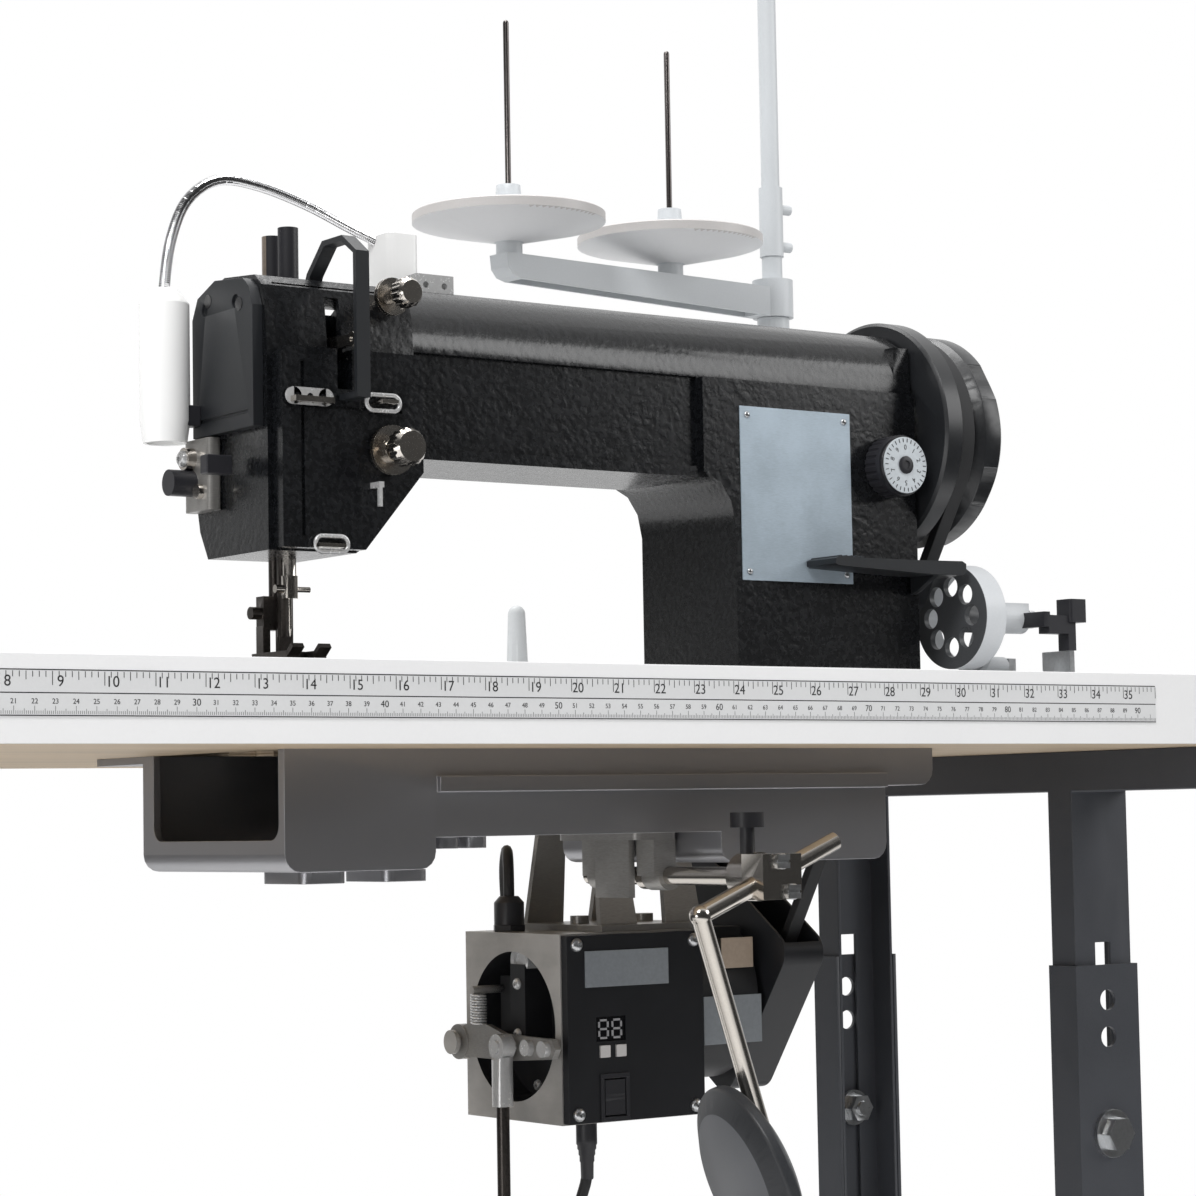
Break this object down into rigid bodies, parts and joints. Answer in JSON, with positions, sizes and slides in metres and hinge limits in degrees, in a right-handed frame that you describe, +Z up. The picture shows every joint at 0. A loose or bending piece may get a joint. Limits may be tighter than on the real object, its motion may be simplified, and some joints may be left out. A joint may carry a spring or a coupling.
{
  "type": "industrial sewing machine",
  "caption": "Flat-bed walking-foot sewing machine on a height-adjustable stand with table, under-table motor, belt drive, treadle, knee lifter, bobbin winder, lamp and thread stand.",
  "frame": {"origin": "on the floor, under the middle of the outer box", "axes": "+Z up, +X to the operator's right along the table, +Y away from the operator"},
  "size_m": [1.219, 0.548, 1.434],
  "materials": {
    "frame_paint": "satin",
    "zinc": "satin",
    "treadle_paint": "satin",
    "plywood": "satin",
    "laminate": "satin",
    "tape": "satin",
    "cast_pan": "rough",
    "hinge_steel": "satin",
    "post_plastic": "satin",
    "motor_paint": "satin",
    "box_cast": "satin",
    "panel_plastic": "satin",
    "black_plastic": "satin",
    "cable": "matte",
    "dark_rubber": "matte",
    "nickel": "polished",
    "steel": "satin",
    "enamel": "gloss",
    "cover_enamel": "satin",
    "foot_steel": "satin",
    "dial": "satin",
    "lamp_white": "gloss",
    "winder_plastic": "satin",
    "spool_grey": "satin",
    "rocker": "gloss"
  },
  "bodies": {
    "stand": {"lower_frames": "frame_paint", "leg_hardware": "zinc", "treadle_support": "frame_paint"},
    "table": {"upper_frames": "frame_paint", "table_core": "plywood", "table_laminate": "laminate", "ruler_strip": "tape", "drip_pan": "cast_pan", "head_mounts": "hinge_steel", "head_rest_post": "post_plastic", "motor_bracket": "zinc", "motor_body": "motor_paint", "control_box": "box_cast", "control_panel": "panel_plastic", "belt_guard": "black_plastic", "cable_glands": "black_plastic", "motor_cable": "cable", "knee_bracket": "cast_pan", "thread_mast": "spool_grey", "winder_base": "zinc", "lever_spring": "steel", "v_belt": "dark_rubber", "power_cord": "cable", "power_coil": "cable", "power_plug": "cable"},
    "treadle": {"treadle": "treadle_paint"},
    "pitman_tube": {"pitman_tube": "zinc"},
    "speed_lever": {"speed_lever": "steel"},
    "pitman_rod": {"pitman_rod": "steel"},
    "motor_pulley": {"motor_pulley": "steel"},
    "rocker": {"rocker_switch": "rocker"},
    "buttons": {"mode_buttons": "spool_grey"},
    "knee": {"knee_lever": "nickel", "knee_pad": "dark_rubber"},
    "winder_arm": {"winder_arm": "steel"},
    "winder_wheel": {"winder_wheel": "winder_plastic"},
    "spool_arm": {"spool_arm": "spool_grey"},
    "top_guide": {"top_guide_arm": "spool_grey"},
    "head": {"bed": "enamel", "arm_casting": "enamel", "face_cover": "cover_enamel", "needle_plate": "steel", "timing_belt": "dark_rubber", "thread_guides": "nickel", "presser_fittings": "foot_steel"},
    "wheel": {"handwheel": "enamel", "main_shaft": "steel"},
    "hook": {"rotary_hook": "steel"},
    "needle_bar": {"needle_bar": "nickel"},
    "presser": {"presser_foot": "foot_steel"},
    "walking": {"walking_foot": "foot_steel"},
    "lifter": {"foot_lifter": "nickel"},
    "take_up": {"take_up_lever": "nickel"},
    "feed": {"feed_dog": "steel"},
    "slide": {"slide_plate": "steel"},
    "dial": {"stitch_dial": "dial"},
    "reverse": {"reverse_lever": "enamel"},
    "tension_main": {"tension_knob_main": "nickel"},
    "tension_upper": {"tension_knob_upper": "nickel"},
    "lamp": {"lamp": "lamp_white"}
  },
  "joints": [
    {"name": "table_height", "type": "slide", "parent": "stand", "child": "table", "axis": [0, 0, 1], "range_m": [0, 0.06]},
    {"name": "treadle_tilt", "type": "hinge", "parent": "stand", "child": "treadle", "pos_m": [0.024, -0.019, 0.1], "axis": [1, 0, 0], "range_deg": [-4.7, 2.9]},
    {"name": "tube_pivot", "type": "hinge", "parent": "treadle", "child": "pitman_tube", "pos_m": [0.232, 0.083, 0.1], "axis": [1, 0, 0], "range_deg": [-5, 5]},
    {"name": "lever_pull", "type": "hinge", "parent": "table", "child": "speed_lever", "pos_m": [0.241, 0.143, 0.555], "axis": [1, 0, 0], "range_deg": [-5, 8], "deforming": ["lever_spring"]},
    {"name": "rod_pivot", "type": "hinge", "parent": "speed_lever", "child": "pitman_rod", "pos_m": [0.232, 0.083, 0.555], "axis": [1, 0, 0], "range_deg": [-9, 9]},
    {"name": "motor_turn", "type": "hinge", "parent": "table", "child": "motor_pulley", "pos_m": [0.41, 0.096, 0.58], "axis": [1, 0, 0], "continuous": true},
    {"name": "power_rocker", "type": "hinge", "parent": "table", "child": "rocker", "pos_m": [0.284, 0.041, 0.524], "axis": [1, 0, 0], "range_deg": [-10, 10]},
    {"name": "button_press", "type": "slide", "parent": "table", "child": "buttons", "axis": [0, 1, 0], "range_m": [0, 0.0015], "stiffness_N_per_m": 300, "springref_m": -0.001},
    {"name": "knee_swing", "type": "hinge", "parent": "table", "child": "knee", "pos_m": [0.2, -0.13, 0.661], "axis": [0, -1, 0], "range_deg": [0, 20], "stiffness_Nm_per_rad": 2, "springref_deg": -17.19},
    {"name": "winder_engage", "type": "hinge", "parent": "table", "child": "winder_arm", "pos_m": [0.455, -0.115, 0.781], "axis": [-1, 0, 0], "range_deg": [0, 14]},
    {"name": "winder_spin", "type": "hinge", "parent": "winder_arm", "child": "winder_wheel", "pos_m": [0.45, -0.132, 0.809], "axis": [1, 0, 0], "continuous": true},
    {"name": "spool_swing", "type": "hinge", "parent": "table", "child": "spool_arm", "pos_m": [0.5005, 0.136, 1.0435], "axis": [0, 0, 1], "range_deg": [-60, 60]},
    {"name": "guide_swing", "type": "hinge", "parent": "table", "child": "top_guide", "pos_m": [0.5005, 0.136, 1.415], "axis": [0, 0, 1], "range_deg": [-60, 60]},
    {"name": "head_tilt", "type": "hinge", "parent": "table", "child": "head", "pos_m": [0.175, 0.018, 0.765], "axis": [-1, 0, 0], "range_deg": [0, 80], "deforming": ["v_belt"]},
    {"name": "wheel_turn", "type": "hinge", "parent": "head", "child": "wheel", "pos_m": [0.42, -0.079, 0.92], "axis": [1, 0, 0], "continuous": true},
    {"name": "hook_turn", "type": "hinge", "parent": "head", "child": "hook", "pos_m": [0.15, -0.079, 0.728], "axis": [1, 0, 0], "continuous": true},
    {"name": "needle_stroke", "type": "slide", "parent": "head", "child": "needle_bar", "axis": [0, 0, 1], "range_m": [-0.024, 0.008]},
    {"name": "presser_drop", "type": "slide", "parent": "head", "child": "presser", "axis": [0, 0, 1], "range_m": [-0.0092, 0]},
    {"name": "walking_step", "type": "slide", "parent": "head", "child": "walking", "axis": [0, 0, 1], "range_m": [-0.0092, 0.006]},
    {"name": "lifter_turn", "type": "hinge", "parent": "head", "child": "lifter", "pos_m": [0.003, -0.04, 0.866], "axis": [0, 1, 0], "range_deg": [0, 45]},
    {"name": "take_up_swing", "type": "hinge", "parent": "head", "child": "take_up", "pos_m": [-0.0045, -0.095, 0.942], "axis": [1, 0, 0], "range_deg": [-25, 25]},
    {"name": "feed_step", "type": "slide", "parent": "head", "child": "feed", "axis": [0, 1, 0], "range_m": [-0.002, 0.002]},
    {"name": "slide_open", "type": "slide", "parent": "head", "child": "slide", "axis": [-1, 0, 0], "range_m": [0, 0.0065]},
    {"name": "dial_turn", "type": "hinge", "parent": "head", "child": "dial", "pos_m": [0.374, -0.124, 0.897], "axis": [0, 1, 0], "range_deg": [-150, 150]},
    {"name": "reverse_press", "type": "hinge", "parent": "head", "child": "reverse", "pos_m": [0.4, -0.112, 0.818], "axis": [1, 0, 0], "range_deg": [0, 20], "stiffness_Nm_per_rad": 1, "springref_deg": -22.92},
    {"name": "tension_turn_main", "type": "hinge", "parent": "head", "child": "tension_main", "pos_m": [0.022, -0.15, 0.8865], "axis": [0, 1, 0], "continuous": true},
    {"name": "tension_turn_upper", "type": "hinge", "parent": "head", "child": "tension_upper", "pos_m": [0.028, -0.142, 0.969], "axis": [0, 1, 0], "continuous": true},
    {"name": "lamp_swivel", "type": "hinge", "parent": "head", "child": "lamp", "pos_m": [0.073, -0.057, 0.998], "axis": [0, 0, 1], "range_deg": [-60, 5]}
  ],
  "couplings": [
    {"joint": "tube_pivot", "follows": "treadle_tilt", "ratio": -1},
    {"joint": "lever_pull", "follows": "treadle_tilt", "ratio": -1.7},
    {"joint": "rod_pivot", "follows": "treadle_tilt", "ratio": 1.7},
    {"joint": "hook_turn", "follows": "wheel_turn", "ratio": 2},
    {"joint": "motor_turn", "follows": "wheel_turn", "ratio": 1.96},
    {"joint": "presser_drop", "follows": "lifter_turn", "m_per_rad": -0.011714}
  ]
}
